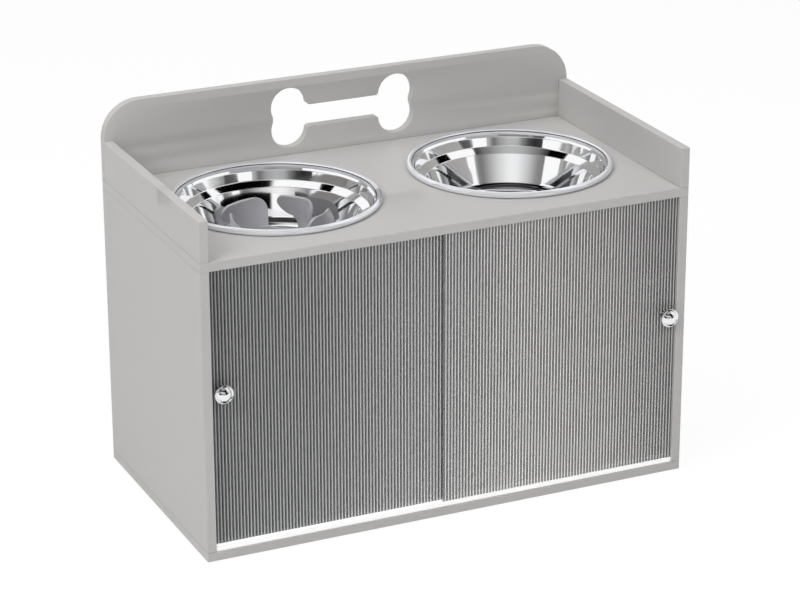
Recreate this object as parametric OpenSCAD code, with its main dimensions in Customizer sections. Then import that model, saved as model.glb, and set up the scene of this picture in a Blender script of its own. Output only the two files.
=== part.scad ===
// Elevated dog feeder with a storage cabinet under the bowl deck.
// Millimetres. +Z is up and the front faces -Y. The origin is the middle of the
// underside, on the surface that the feeder stands on.

/* [Cabinet] */
// Width of the cabinet
body_w = 600; // [560:10:680]
// Depth of the cabinet, front to back
body_d = 314; // [300:2:360]
// Height of the deck's top face above the floor
body_h = 354; // [300:2:420]
// Thickness of every board
board_t = 11; // [11:0.5:15]
// Chamfer along the edges of the boards
edge_c = 0.6; // [0.3:0.1:0.9]

/* [Guards and splash panel] */
// Height of the side guards above the deck
guard_h = 47.5; // [40:0.5:60]
// Height of the splash panel above the deck
splash_h = 93; // [90:1:130]
// Radius of the splash panel's top corners
splash_r = 45; // [20:1:60]

/* [Bone cut-out] */
// Length of the bone
bone_l = 184; // [160:1:200]
// Radius of each of the four lobes
bone_lobe_r = 23; // [20:0.5:24]
// Distance between the centres of the two lobes at one end
bone_lobe_gap = 27; // [26:1:30]
// Height of the shaft between the lobes
bone_shaft = 26.3; // [24:0.1:30]
// Radius of the hollow where a lobe meets the shaft
bone_fillet_r = 4; // [3:0.5:12]
// Radius of the hollow between the two lobes at an end of the bone
bone_notch_r = 16; // [8:0.5:24]
// Height of the bone's middle above the deck
bone_z = 45.5; // [45:0.5:52]

/* [Bowls] */
// Gap between a bowl's rim and the guard beside it
bowl_side_gap = 20; // [14:1:28]
// Gap between the rims of the two bowls
bowl_mid_gap = 54; // [40:2:80]
// Gap between the front edge of the deck and the rims
bowl_front_gap = 35; // [28:1:40]
// Gap between the rims and the splash panel
bowl_back_gap = 26; // [16:1:34]
// Radius of the rolled bead at the rim
bead_r = 3.6; // [2.6:0.1:4]
// Width of the groove between the bead and the wall
groove_step = 2.6; // [1.5:0.1:4]
// Height of the upper band of the wall
band_h = 11.3; // [8:0.1:16]
// Step in over the height of the upper band
band_lean = 3.5; // [1:0.1:5]
// Width of the shoulder below the band
shoulder_w = 9; // [5:0.2:11]
// Height of the shoulder
shoulder_h = 5.7; // [4:0.1:8]
// Depth of the bowl's floor below the deck
bowl_depth = 58; // [48:0.5:70]
// Radius between the lower wall and the floor
floor_fillet_r = 13.5; // [4:0.5:14]
// Angle of the lower wall from level
wall_a = 70; // [66:1:80]
// Thickness of the steel
bowl_t = 0.8; // [0.6:0.1:1.2]
// Gap between the bowl and the edge of its hole
hole_gap = 1.2; // [0.6:0.1:1.5]

/* [Slow feeder insert] */
// Number of fins
fins = 5; // [3:1:5]
// Thickness of the base disc
insert_base_t = 2.4; // [2:0.2:4]
// Height of the fins above the bowl's floor
fin_h = 46; // [34:0.5:46]
// Thickness of the fins
fin_t = 3; // [2:0.2:4]
// Gap between the edge of the disc and the rounded edge of the bowl's floor
disc_edge_gap = 8; // [8:0.5:18]
// Distance from the edge of the disc to the middle of a fin
fin_edge_gap = 13.8; // [12:0.1:20]
// Direction of the first fin, from +X towards the back
fin_turn = 32; // [0:1:72]
// Angle between a fin and the line from the middle of the bowl
fin_skew = 64; // [45:1:72]
// Twist of a fin from its foot to its top
fin_twist = 30; // [0:1:50]
// Radius of the curve of a fin, seen from above
fin_bend_r = 65; // [50:1:120]
// Length of a fin from its middle to its inner edge
fin_in = 22; // [16:0.5:24]
// Length of a fin from its middle to its outer tip
fin_out = 34; // [28:0.5:36]
// Radius of the lobe at a fin's outer tip
lobe_r = 12; // [9:0.5:13]

/* [Sliding doors] */
// Thickness of a door over its flutes
door_t = 4; // [3.4:0.2:4.4]
// Depth of the flutes
flute_h = 0.9; // [0.5:0.1:1.2]
// Width of one flute
flute_w = 3.95; // [3.2:0.05:6]
// Overlap of the two closed doors
door_overlap = 16; // [10:1:24]
// Length of a door's top edge inside the upper track
door_bite = 2.5; // [1.5:0.5:3]
// Gap between a door's outer edge and the side panel
door_side_gap = 0.5; // [0.4:0.1:1.5]

/* [Tracks] */
// Set-back of the tracks from the cabinet's front face
track_set_back = 2; // [1.5:0.5:4]
// Thickness of the lips and the rib of a track
lip_t = 1.5; // [1.2:0.1:2]
// Thickness of the bed of a track
track_bed_t = 1; // [0.8:0.1:1.2]
// Height of the lower track
lower_track_h = 5; // [4:0.5:6]
// Height of the upper track, which lies in the deck
upper_track_h = 8; // [7:0.5:8]

/* [Knobs] */
// Radius of a knob's head
knob_r = 11; // [9:0.5:13]
// Length of a knob from the door to the top of its dome
knob_l = 17.5; // [15:0.5:22]
// Radius of a knob's stem
knob_stem_r = 6; // [5:0.5:7]
// Distance from the side panel to a knob's axis
knob_inset = 13; // [13:0.5:24]
// Height of the knobs' axes above the floor
knob_z = 199; // [120:1:220]

/* [Fasteners] */
// Diameter of the board screws
screw_d = 4; // [3.5:0.1:5]
// Length of the board screws
screw_l = 38; // [30:1:50]
// Diameter of the board screws' heads
screw_head_d = 8; // [7:0.5:9]
// Diameter of the dowels
dowel_d = 6; // [5:0.5:7]
// Depth of a dowel in the face of a board
dowel_in_face = 6.5; // [5:0.5:7]
// Depth of a dowel in the edge of a board
dowel_in_edge = 16; // [12:1:20]
// Diameter of the knob screws
knob_screw_d = 4; // [3:0.5:4.5]

/* [Hidden] */

// Clearances and the overrun of every cut
fit = 0.05;
run_gap = 0.3;
seat_gap = 0.2;
over = 1;
hole_end_gap = 0.5;

// Faces of the cabinet
front_y = -body_d / 2;
rear_y = body_d / 2;
inner_w = body_w - 2 * board_t;
side_x = (body_w - board_t) / 2;
inner_h = body_h - 2 * board_t;
splash_y = rear_y - board_t;

// Room on the deck for one bowl, whose rim touches the nearer pair of sides
bowl_room_w = (inner_w - 2 * bowl_side_gap - bowl_mid_gap) / 2;
bowl_room_d = body_d - board_t - bowl_front_gap - bowl_back_gap;
rim_r = min(bowl_room_w, bowl_room_d) / 2;
bowl_cx = (bowl_mid_gap + bowl_room_w) / 2;
bowl_cy = front_y + bowl_front_gap + bowl_room_d / 2;

// Places of the joints between boards, as shares of the width or the depth
side_screw_shares = [0.13, 0.5, 0.87];
side_dowel_shares = [0.28, 0.72];
guard_dowel_shares = [0.2, 0.4, 0.6, 0.8];
back_screw_shares = [0.2, 0.5, 0.8];
splash_dowel_shares = [0.1, 0.3, 0.7, 0.9];
guard_screw_shares = [0.3, 0.7];

// Track: two grooves between three lips
groove_gap = 0.4;
groove_w = door_t + 2 * groove_gap;
track_d = 3 * lip_t + 2 * groove_w;
track_y = front_y + track_set_back;
front_groove_y = track_y + lip_t;
rear_groove_y = front_groove_y + groove_w + lip_t;
track_end_gap = 0.2;
track_fit = 0.1;

// Doors
door_w = (inner_w + door_overlap) / 2 - door_side_gap;
door_z0 = board_t + track_bed_t + run_gap;
door_h = body_h - board_t + door_bite - door_z0;
flutes = round(door_w / flute_w);
flute_pitch = door_w / flutes;
flute_steps = 6;
flute_arc_r = (pow(flute_pitch / 2, 2) + pow(flute_h, 2)) / (2 * flute_h);
front_door_y = front_groove_y + groove_gap;
rear_door_y = rear_groove_y + groove_gap;
door_edge_x = inner_w / 2 - door_side_gap;

// Knobs and their screws
knob_x = inner_w / 2 - knob_inset;
knob_flare_share = 0.34;
knob_edge_share = 0.56;
knob_rim_share = 0.74;
knob_neck_share = 0.87;
knob_dome_share = 0.76;
knob_edge_r = 1.2;
knob_screw_bite = 8;
knob_screw_head_r = 3.6;
knob_screw_head_h = 2.2;
knob_washer_r = 5;
knob_washer_t = 0.8;
driver_w = 0.9;
driver_depth_share = 0.6;

// Bowl, worked inwards from the bead, whose points lie at shares of a turn round its middle
bead_x = rim_r - bead_r;
bead_z = seat_gap + bead_r;
bead_start_share = 0.53;
bead_touch_share = 0.57;
bead_end_share = -0.39;
bead_inner = [bead_x, bead_z] + bead_r * [cos(360 * bead_touch_share), sin(360 * bead_touch_share)];
band_top = [bead_inner.x - groove_step, bead_inner.y - groove_step];
band_low = [band_top.x - band_lean, band_top.y - band_h];
wall_top = [band_low.x - shoulder_w, band_low.y - shoulder_h];
wall_foot_z = -bowl_depth + floor_fillet_r * (1 - cos(wall_a));
wall_foot = [wall_top.x - (wall_top.y - wall_foot_z) / tan(wall_a), wall_foot_z];
floor_r = wall_foot.x - floor_fillet_r * sin(wall_a);
bowl_hole_r = band_top.x + bowl_t + hole_gap;
left_bowl_x = -bowl_cx;
right_bowl_x = bowl_cx;

// Insert
insert_z = body_h - bowl_depth + run_gap;
insert_base_r = floor_r - disc_edge_gap;
fin_r = insert_base_r - fin_edge_gap;
fin_corner_r = 14;
fin_neck_r = 11;
lobe_drop = 14;
fin_span_share = 1.15;
fin_steps = 5;
fin_slices = 4;

// Screws and dowels
screw_head_h = (screw_head_d - screw_d) / 2;
head_sink = 0.3;
dowel_l = dowel_in_face + dowel_in_edge;
pilot_l = head_sink + screw_l - board_t + hole_end_gap;

board_colour = [0.73, 0.725, 0.71];
steel_colour = [0.84, 0.85, 0.86];
chrome_colour = [0.88, 0.89, 0.9];
acrylic_colour = [0.75, 0.77, 0.77, 0.6];
track_colour = [0.96, 0.96, 0.96];
insert_colour = [0.58, 0.58, 0.61];
zinc_colour = [0.7, 0.7, 0.68];
birch_colour = [0.85, 0.75, 0.58];

$fn = 96;

// Points along an arc, from one angle to another
function arc(c, r, a0, a1, n) = [for (i = [0:n]) c + r * [cos(a0 + (a1 - a0) * i / n), sin(a0 + (a1 - a0) * i / n)]];
function backwards(p) = [for (i = [len(p) - 1:-1:0]) p[i]];
function mirrored(p, s) = [for (q = p) [q.x * s.x, q.y * s.y]];
function unit(v) = v / norm(v);
function turned(v) = [v.y, -v.x];

// A line of points moved to its right by t, with mitred corners
function beside(p, t) = [
    for (i = [0:len(p) - 1])
        let (
            a = unit(p[min(i + 1, len(p) - 1)] - p[max(min(i, len(p) - 2), 0)]),
            b = unit(p[max(i, 1)] - p[max(i, 1) - 1]),
            m = turned(a) + turned(b)
        ) p[i] + t * 2 * m / (m * m)
];

// A square outline with chamfered corners, from the origin
module chamfered(w, h) {
    c = edge_c;
    polygon([[c, 0], [w - c, 0], [w, c], [w, h - c], [w - c, h], [c, h], [0, h - c], [0, c]]);
}

// A board with every edge chamfered, from its lowest corner
module board(size) {
    intersection() {
        linear_extrude(size.z) chamfered(size.x, size.y);
        translate([0, size.y, 0]) rotate([90, 0, 0]) linear_extrude(size.y) chamfered(size.x, size.z);
        rotate([90, 0, 90]) linear_extrude(size.x) chamfered(size.y, size.z);
    }
}

// Countersunk screw through the face at the origin, its head just below it and its tip towards +Z
module screw(l) {
    translate([0, 0, head_sink]) difference() {
        union() {
            cylinder(h = screw_head_h, r1 = screw_head_d / 2, r2 = screw_d / 2);
            translate([0, 0, screw_head_h]) cylinder(h = l - screw_head_h, d = screw_d);
        }
        for (a = [0, 90]) rotate([0, 0, a]) translate([-screw_d / 2, -driver_w / 2, -over])
            cube([screw_d, driver_w, over + screw_head_h * driver_depth_share]);
    }
}

// Room for that screw through a board, from the board's outer face
module screw_way(l) {
    translate([0, 0, head_sink]) cylinder(h = screw_head_h + fit, r1 = screw_head_d / 2 + fit, r2 = screw_d / 2);
    translate([0, 0, -over]) cylinder(h = over + head_sink, r = screw_head_d / 2 + fit);
    cylinder(h = l, r = screw_d / 2 + fit);
}

// Room for the end of a dowel, into the board from the origin
module dowel_way(depth) {
    translate([0, 0, -over]) cylinder(h = over + depth + hole_end_gap, r = dowel_d / 2 + fit);
}

// The places on the cabinet's plan that the screws and the dowels stand on
function along_y(share) = front_y + share * body_d;
function along_x(share) = -body_w / 2 + share * body_w;
side_screws = [for (s = side_screw_shares, m = [-1, 1]) [m * side_x, along_y(s)]];
back_screws = [for (s = back_screw_shares) [along_x(s), rear_y - board_t / 2]];
side_dowels = [for (s = side_dowel_shares, m = [-1, 1]) [m * side_x, along_y(s)]];
guard_dowel_spots = [for (s = guard_dowel_shares, m = [-1, 1]) [m * side_x, along_y(s)]];
splash_dowel_spots = [for (s = splash_dowel_shares) [along_x(s), rear_y - board_t / 2]];
guard_screw_spots = [for (s = guard_screw_shares, m = [-1, 1]) [m * side_x, body_h + s * guard_h]];

module bottom_panel() {
    color(board_colour) difference() {
        translate([-body_w / 2, front_y, 0]) board([body_w, body_d, board_t]);
        for (p = concat(side_screws, back_screws)) translate(p) screw_way(board_t + over);
        for (p = side_dowels) translate([p.x, p.y, board_t]) mirror([0, 0, 1]) dowel_way(dowel_in_face);
    }
}

module side_panel(side) {
    color(board_colour) difference() {
        translate([side * side_x - board_t / 2, front_y, board_t]) board([board_t, body_d, inner_h]);
        for (p = side_screws) if (p.x * side > 0) {
            translate([p.x, p.y, board_t - over]) cylinder(h = over + pilot_l, r = screw_d / 2 + fit);
            translate([p.x, p.y, body_h - board_t - pilot_l]) cylinder(h = over + pilot_l, r = screw_d / 2 + fit);
        }
        for (p = side_dowels) if (p.x * side > 0) {
            translate([p.x, p.y, board_t]) dowel_way(dowel_in_edge);
            translate([p.x, p.y, body_h - board_t]) mirror([0, 0, 1]) dowel_way(dowel_in_edge);
        }
    }
}

module left_side_panel() {
    side_panel(-1);
}

module right_side_panel() {
    side_panel(1);
}

module back_panel() {
    color(board_colour) difference() {
        translate([-inner_w / 2, rear_y - board_t, board_t]) board([inner_w, board_t, inner_h]);
        for (p = back_screws) {
            translate([p.x, p.y, board_t - over]) cylinder(h = over + pilot_l, r = screw_d / 2 + fit);
            translate([p.x, p.y, body_h - board_t - pilot_l]) cylinder(h = over + pilot_l, r = screw_d / 2 + fit);
        }
    }
}

module top_panel() {
    color(board_colour) difference() {
        translate([-body_w / 2, front_y, body_h - board_t]) board([body_w, body_d, board_t]);
        for (x = [left_bowl_x, right_bowl_x]) translate([x, bowl_cy, body_h - board_t - over])
            cylinder(h = board_t + 2 * over, r = bowl_hole_r);
        translate([-inner_w / 2, track_y - track_fit, body_h - board_t - over])
            cube([inner_w, track_d + 2 * track_fit, over + upper_track_h + track_fit]);
        for (p = concat(side_screws, back_screws)) translate([p.x, p.y, body_h]) mirror([0, 0, 1])
            screw_way(board_t + over);
        for (p = side_dowels) translate([p.x, p.y, body_h - board_t]) dowel_way(dowel_in_face);
        for (p = concat(guard_dowel_spots, splash_dowel_spots)) translate([p.x, p.y, body_h])
            mirror([0, 0, 1]) dowel_way(dowel_in_face);
    }
}

// One quarter of the bone, from the notch at its end to the middle of the shaft
bone_lobe = [bone_l / 2 - bone_lobe_r, bone_lobe_gap / 2];
bone_rise = bone_shaft / 2 + bone_fillet_r - bone_lobe.y;
bone_tilt = asin(bone_rise / (bone_lobe_r + bone_fillet_r));
bone_hollow = bone_lobe + (bone_lobe_r + bone_fillet_r) * [-cos(bone_tilt), sin(bone_tilt)];
bone_notch_a = asin(bone_lobe.y / (bone_lobe_r + bone_notch_r));
bone_notch = [bone_lobe.x + (bone_lobe_r + bone_notch_r) * cos(bone_notch_a), 0];
bone_steps = 18;
bone_quarter = concat(
    arc(bone_notch, bone_notch_r, 180, 180 - bone_notch_a, bone_steps / 3),
    arc(bone_lobe, bone_lobe_r, -bone_notch_a, 180 - bone_tilt, bone_steps),
    arc(bone_hollow, bone_fillet_r, -bone_tilt, -90, bone_steps / 3)
);
bone_upper = concat(bone_quarter, backwards(mirrored(bone_quarter, [-1, 1])));

module bone_outline() {
    polygon(concat(bone_upper, [for (i = [len(bone_upper) - 2:-1:1]) [bone_upper[i].x, -bone_upper[i].y]]));
}

module splash_outline() {
    w = body_w / 2;
    steps = 16;
    right = arc([w - splash_r, splash_h - splash_r], splash_r, 0, 90, steps);
    polygon(concat([[-w, 0], [w, 0]], right, backwards(mirrored(right, [-1, 1]))));
}

module splash_panel() {
    color(board_colour) difference() {
        translate([0, rear_y, body_h]) rotate([90, 0, 0]) linear_extrude(board_t) splash_outline();
        translate([0, rear_y + over, body_h + bone_z]) rotate([90, 0, 0])
            linear_extrude(board_t + 2 * over) bone_outline();
        for (p = splash_dowel_spots) translate([p.x, p.y, body_h]) dowel_way(dowel_in_edge);
        for (p = guard_screw_spots) translate([p.x, rear_y, p.y]) rotate([90, 0, 0]) screw_way(board_t + over);
    }
}

module guard(side) {
    color(board_colour) difference() {
        translate([side * side_x - board_t / 2, front_y, body_h]) board([board_t, body_d - board_t, guard_h]);
        for (p = guard_dowel_spots) if (p.x * side > 0) translate([p.x, p.y, body_h]) dowel_way(dowel_in_edge);
        for (p = guard_screw_spots) if (p.x * side > 0) translate([p.x, splash_y + over, p.y]) rotate([90, 0, 0])
            cylinder(h = over + pilot_l, r = screw_d / 2 + fit);
    }
}

module left_guard() {
    guard(-1);
}

module right_guard() {
    guard(1);
}

// Track section seen along the width: a bed with two grooves above it
module track_section(h) {
    difference() {
        square([track_d, h]);
        for (y = [lip_t, 2 * lip_t + groove_w]) translate([y, track_bed_t]) square([groove_w, h]);
    }
}

module track(h) {
    l = inner_w - 2 * track_end_gap;
    translate([-l / 2, track_y, 0]) rotate([90, 0, 90]) linear_extrude(l) track_section(h);
}

module lower_track() {
    color(track_colour) translate([0, 0, board_t]) track(lower_track_h);
}

module upper_track() {
    color(track_colour) translate([0, 0, body_h - board_t + upper_track_h]) mirror([0, 0, 1]) track(upper_track_h);
}

// Door section seen from above, its fluted face towards -Y
module door_section() {
    base = door_t - flute_h;
    fluted = [
        for (i = [0:flutes - 1], j = [0:flute_steps - 1])
            let (x = (j / flute_steps - 0.5) * flute_pitch)
                [(i + 0.5) * flute_pitch + x, flute_arc_r - sqrt(pow(flute_arc_r, 2) - pow(x, 2))]
    ];
    polygon(concat(fluted, [[door_w, flute_h], [door_w, door_t], [0, door_t]]));
}

// A door from its left edge, with the hole for its knob's screw
module door(x, y, hole_x) {
    color(acrylic_colour) difference() {
        translate([x, y, door_z0]) linear_extrude(door_h) door_section();
        translate([hole_x, y + door_t + over, knob_z]) rotate([90, 0, 0])
            cylinder(h = door_t + 2 * over, r = knob_screw_d / 2 + fit);
    }
}

module left_door() {
    door(-door_edge_x, rear_door_y, -knob_x);
}

module right_door() {
    door(door_edge_x - door_w, front_door_y, knob_x);
}

// Knob of revolution, standing on the door at the origin along +Z
knob_flare_z = knob_l * knob_flare_share;
knob_edge_z = knob_l * knob_edge_share;
knob_rim_z = knob_l * knob_rim_share;
knob_dome_r = knob_r * knob_dome_share;
knob_dome_h = knob_l - knob_rim_z;
knob_dome_arc_r = (pow(knob_dome_r, 2) + pow(knob_dome_h, 2)) / (2 * knob_dome_h);
knob_dome_a = asin(knob_dome_r / knob_dome_arc_r);
module knob() {
    dome = arc([0, knob_l - knob_dome_arc_r], knob_dome_arc_r, 90 - knob_dome_a, 90, 10);
    corner = [knob_r - knob_edge_r, knob_rim_z - knob_edge_r];
    difference() {
        rotate_extrude() polygon(concat(
            [[0, 0], [knob_stem_r, 0], [knob_stem_r * knob_neck_share, knob_flare_z]],
            arc([knob_stem_r * knob_neck_share + knob_edge_z - knob_flare_z, knob_flare_z], knob_edge_z - knob_flare_z, 180, 90, 6),
            [[knob_r, knob_edge_z]],
            arc(corner, knob_edge_r, 0, 90, 4),
            [[knob_dome_r + knob_edge_r, knob_rim_z - knob_edge_r / 2]],
            dome
        ));
        translate([0, 0, -over]) cylinder(h = over + knob_screw_bite + hole_end_gap, r = knob_screw_d / 2 + fit);
    }
}

module knob_on(x, y) {
    color(chrome_colour) translate([x, y, knob_z]) rotate([90, 0, 0]) knob();
}

module left_door_knob() {
    knob_on(-knob_x, rear_door_y);
}

module right_door_knob() {
    knob_on(knob_x, front_door_y);
}

// Washer behind the door, and the screw that holds the knob through it
module washer_on(x, y) {
    color(zinc_colour) translate([x, y + door_t + knob_washer_t, knob_z]) rotate([90, 0, 0]) difference() {
        cylinder(h = knob_washer_t, r = knob_washer_r);
        translate([0, 0, -over]) cylinder(h = knob_washer_t + 2 * over, r = knob_screw_d / 2 + fit);
    }
}

module knob_screw_on(x, y) {
    color(zinc_colour) translate([x, y + door_t + knob_washer_t, knob_z]) rotate([90, 0, 0]) difference() {
        union() {
            translate([0, 0, -knob_screw_head_h]) cylinder(h = knob_screw_head_h, r = knob_screw_head_r);
            cylinder(h = knob_washer_t + door_t + knob_screw_bite, d = knob_screw_d);
        }
        for (a = [0, 90]) rotate([0, 0, a])
            translate([-knob_screw_d / 2, -driver_w / 2, -knob_screw_head_h - over])
                cube([knob_screw_d, driver_w, over + knob_screw_head_h * driver_depth_share]);
    }
}

module left_knob_washer() {
    washer_on(-knob_x, rear_door_y);
}

module right_knob_washer() {
    washer_on(knob_x, front_door_y);
}

module left_knob_screw() {
    knob_screw_on(-knob_x, rear_door_y);
}

module right_knob_screw() {
    knob_screw_on(knob_x, front_door_y);
}

// Inside of the bowl's wall from the middle of the floor to the bead
bowl_inside = concat(
    [[0, -bowl_depth]],
    arc([floor_r, -bowl_depth + floor_fillet_r], floor_fillet_r, -90, wall_a - 90, 10),
    [wall_top, band_low, band_top, bead_inner]
);
bowl_outside = beside(bowl_inside, bowl_t);

module bowl(x) {
    color(steel_colour) translate([x, bowl_cy, body_h]) rotate_extrude() polygon(concat(
        bowl_inside,
        arc([bead_x, bead_z], bead_r, 360 * bead_start_share, 360 * bead_end_share, 18),
        [for (i = [len(bowl_outside) - 2:-1:1]) bowl_outside[i]],
        [[0, -bowl_depth - bowl_t]]
    ));
}

module left_bowl() {
    bowl(left_bowl_x);
}

module right_bowl() {
    bowl(right_bowl_x);
}

// Section of one fin: an arc through the origin, hollow towards +Y
module fin_section() {
    reach = fin_span_share * fin_out / fin_bend_r * 180 / PI;
    outer = arc([0, fin_bend_r], fin_bend_r + fin_t / 2, -90 - reach, -90 + reach, fin_steps);
    inner = arc([0, fin_bend_r], fin_bend_r - fin_t / 2, -90 - reach, -90 + reach, fin_steps);
    polygon(concat(outer, backwards(inner)));
}

// Side of one fin: an upright inner edge, a round top, and a lobe that overhangs the neck
module fin_side() {
    lobe = [fin_out - lobe_r, fin_h - lobe_drop];
    neck = [lobe.x, lobe.y - lobe_r - fin_neck_r];
    polygon(concat(
        [[-fin_in, 0]],
        arc([fin_corner_r - fin_in, fin_h - fin_corner_r], fin_corner_r, 180, 90, fin_steps),
        arc(lobe, lobe_r, 70, -90, fin_steps),
        arc(neck, fin_neck_r, 90, 180, fin_steps),
        [[neck.x - fin_neck_r, 0]]
    ));
}

module fin() {
    translate([fin_r, 0, 0]) rotate([0, 0, fin_skew]) intersection() {
        rotate([0, 0, -fin_twist / 2]) linear_extrude(fin_h, twist = -fin_twist, slices = fin_slices) fin_section();
        translate([0, fin_out, 0]) rotate([90, 0, 0]) linear_extrude(2 * fin_out) fin_side();
    }
}

module slow_feeder_insert() {
    color(insert_colour) translate([left_bowl_x, bowl_cy, insert_z]) {
        cylinder(h = insert_base_t, r = insert_base_r);
        for (i = [0:fins - 1]) rotate([0, 0, fin_turn + i * 360 / fins]) fin();
    }
}

module base_screws() {
    color(zinc_colour) for (p = concat(side_screws, back_screws)) translate(p) screw(screw_l);
}

module top_screws() {
    color(zinc_colour) for (p = concat(side_screws, back_screws)) translate([p.x, p.y, body_h]) mirror([0, 0, 1])
        screw(screw_l);
}

module guard_screws() {
    color(zinc_colour) for (p = guard_screw_spots) translate([p.x, rear_y, p.y]) rotate([90, 0, 0])
        screw(screw_l);
}

// Dowels that stand across a joint at height z, the short end below or above it
module dowels(spots, z, up) {
    color(birch_colour) for (p = spots) translate([p.x, p.y, z - (up ? dowel_in_face : dowel_in_edge)])
        cylinder(h = dowel_l, d = dowel_d);
}

module base_dowels() {
    dowels(side_dowels, board_t, true);
}

module top_dowels() {
    dowels(side_dowels, body_h - board_t, false);
}

module guard_dowels() {
    dowels(guard_dowel_spots, body_h, true);
}

module splash_dowels() {
    dowels(splash_dowel_spots, body_h, true);
}

bottom_panel();
left_side_panel();
right_side_panel();
back_panel();
top_panel();
splash_panel();
left_guard();
right_guard();
lower_track();
upper_track();
left_door();
left_door_knob();
left_knob_screw();
left_knob_washer();
right_door();
right_door_knob();
right_knob_screw();
right_knob_washer();
left_bowl();
slow_feeder_insert();
right_bowl();
base_screws();
top_screws();
guard_screws();
base_dowels();
top_dowels();
guard_dowels();
splash_dowels();
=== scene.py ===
import math

import bmesh
import bpy
from mathutils import Matrix, Vector


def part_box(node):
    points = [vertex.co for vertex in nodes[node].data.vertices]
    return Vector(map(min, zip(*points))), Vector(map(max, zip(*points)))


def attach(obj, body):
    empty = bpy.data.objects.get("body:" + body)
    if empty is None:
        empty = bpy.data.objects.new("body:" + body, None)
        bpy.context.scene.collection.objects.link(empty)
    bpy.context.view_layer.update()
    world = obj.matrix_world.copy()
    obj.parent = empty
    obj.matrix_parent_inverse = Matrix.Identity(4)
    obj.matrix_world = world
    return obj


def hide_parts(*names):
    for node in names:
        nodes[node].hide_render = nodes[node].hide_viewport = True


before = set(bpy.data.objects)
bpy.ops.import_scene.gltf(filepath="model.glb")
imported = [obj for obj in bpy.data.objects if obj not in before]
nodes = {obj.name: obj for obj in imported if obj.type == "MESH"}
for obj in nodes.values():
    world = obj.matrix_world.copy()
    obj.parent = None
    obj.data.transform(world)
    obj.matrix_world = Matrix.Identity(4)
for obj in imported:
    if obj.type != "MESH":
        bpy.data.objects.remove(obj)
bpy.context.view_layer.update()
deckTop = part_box("top_panel")[1].z


class Wire:
    # an output socket that can stand in sums
    def __init__(self, graph, socket):
        self.graph = graph
        self.socket = socket

    def __add__(self, other):
        return self.graph.maths("ADD", self, other)

    def __sub__(self, other):
        return self.graph.maths("SUBTRACT", self, other)

    def __rsub__(self, other):
        return self.graph.maths("SUBTRACT", other, self)

    def __mul__(self, other):
        return self.graph.maths("MULTIPLY", self, other)

    def __truediv__(self, other):
        return self.graph.maths("DIVIDE", self, other)

    def __pow__(self, other):
        return self.graph.maths("POWER", self, other)

    def __abs__(self):
        return self.graph.maths("ABSOLUTE", self)

    __radd__ = __add__


class Graph:
    # a node tree of either kind
    def __init__(self, tree):
        self.tree = tree

    def node(self, kind, settings=None, sockets=None, out=0):
        made = self.tree.nodes.new(kind)
        for name, value in (settings or {}).items():
            if name == "stops":
                self.setStops(made.color_ramp, value)
            else:
                setattr(made, name, value)
        for name, value in (sockets or {}).items():
            self.plug(made.inputs[name], value)
        return Wire(self, made.outputs[out])

    def plug(self, socket, value):
        if isinstance(value, list):
            for one in value:
                self.plug(socket, one)
        elif isinstance(value, Wire):
            self.tree.links.new(value.socket, socket)
        else:
            socket.default_value = value

    def setStops(self, ramp, stops):
        while len(ramp.elements) < len(stops):
            ramp.elements.new(1)
        for element, (place, colour) in zip(ramp.elements, stops):
            element.position = place
            element.color = (*colour, 1)

    def maths(self, operation, *values):
        return self.node("ShaderNodeMath", {"operation": operation}, dict(enumerate(values)))

    def vector(self, x=0.0, y=0.0, z=0.0):
        return self.node("ShaderNodeCombineXYZ", None, {"X": x, "Y": y, "Z": z})

    def vectorMaths(self, operation, a, b, out=0):
        return self.node("ShaderNodeVectorMath", {"operation": operation}, {0: a, 1: b}, out)


class Finish(Graph):
    # a material whose Principled shader takes constants and fed sockets
    def __init__(self, name, constants):
        self.material = bpy.data.materials.new(name)
        self.material.use_nodes = True
        super().__init__(self.material.node_tree)
        self.shader = self.tree.nodes["Principled BSDF"]
        for socket, value in constants.items():
            self.shader.inputs[socket].default_value = value
        self.place = self.node("ShaderNodeTexCoord", None, None, "Object")

    def feed(self, socket, value):
        self.plug(self.shader.inputs[socket], value)

    def noise(self, grain, detail=2.0, vector=None, stretch=None):
        source = vector or self.place
        if stretch:
            source = self.vectorMaths("MULTIPLY", source, stretch)
        sockets = {"Vector": source, "Scale": 1 / grain, "Detail": detail}
        return self.node("ShaderNodeTexNoise", None, sockets)

    def blend(self, factor, a, b):
        a, b = ((*colour, 1) if isinstance(colour, tuple) else colour for colour in (a, b))
        return self.node("ShaderNodeMix", {"data_type": "RGBA"}, {0: factor, 6: a, 7: b}, 2)

    def ramp(self, factor, stops):
        # stops are (place, tone), where a tone is one number or a colour
        stops = [(place, tone if isinstance(tone, tuple) else (tone, tone, tone)) for place, tone in stops]
        return self.node("ShaderNodeValToRGB", {"stops": stops}, {"Fac": factor})

    def facing(self, axis):
        # how far the surface faces along the axis, either way
        return abs(self.along(axis, self.node("ShaderNodeNewGeometry", None, None, "Normal")))

    def along(self, axis, source=None):
        return self.node("ShaderNodeSeparateXYZ", None, {"Vector": source or self.place}, axis)

    def relief(self, height, depth, strength):
        sockets = {"Height": height, "Distance": depth, "Strength": strength}
        self.feed("Normal", self.node("ShaderNodeBump", None, sockets))


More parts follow.
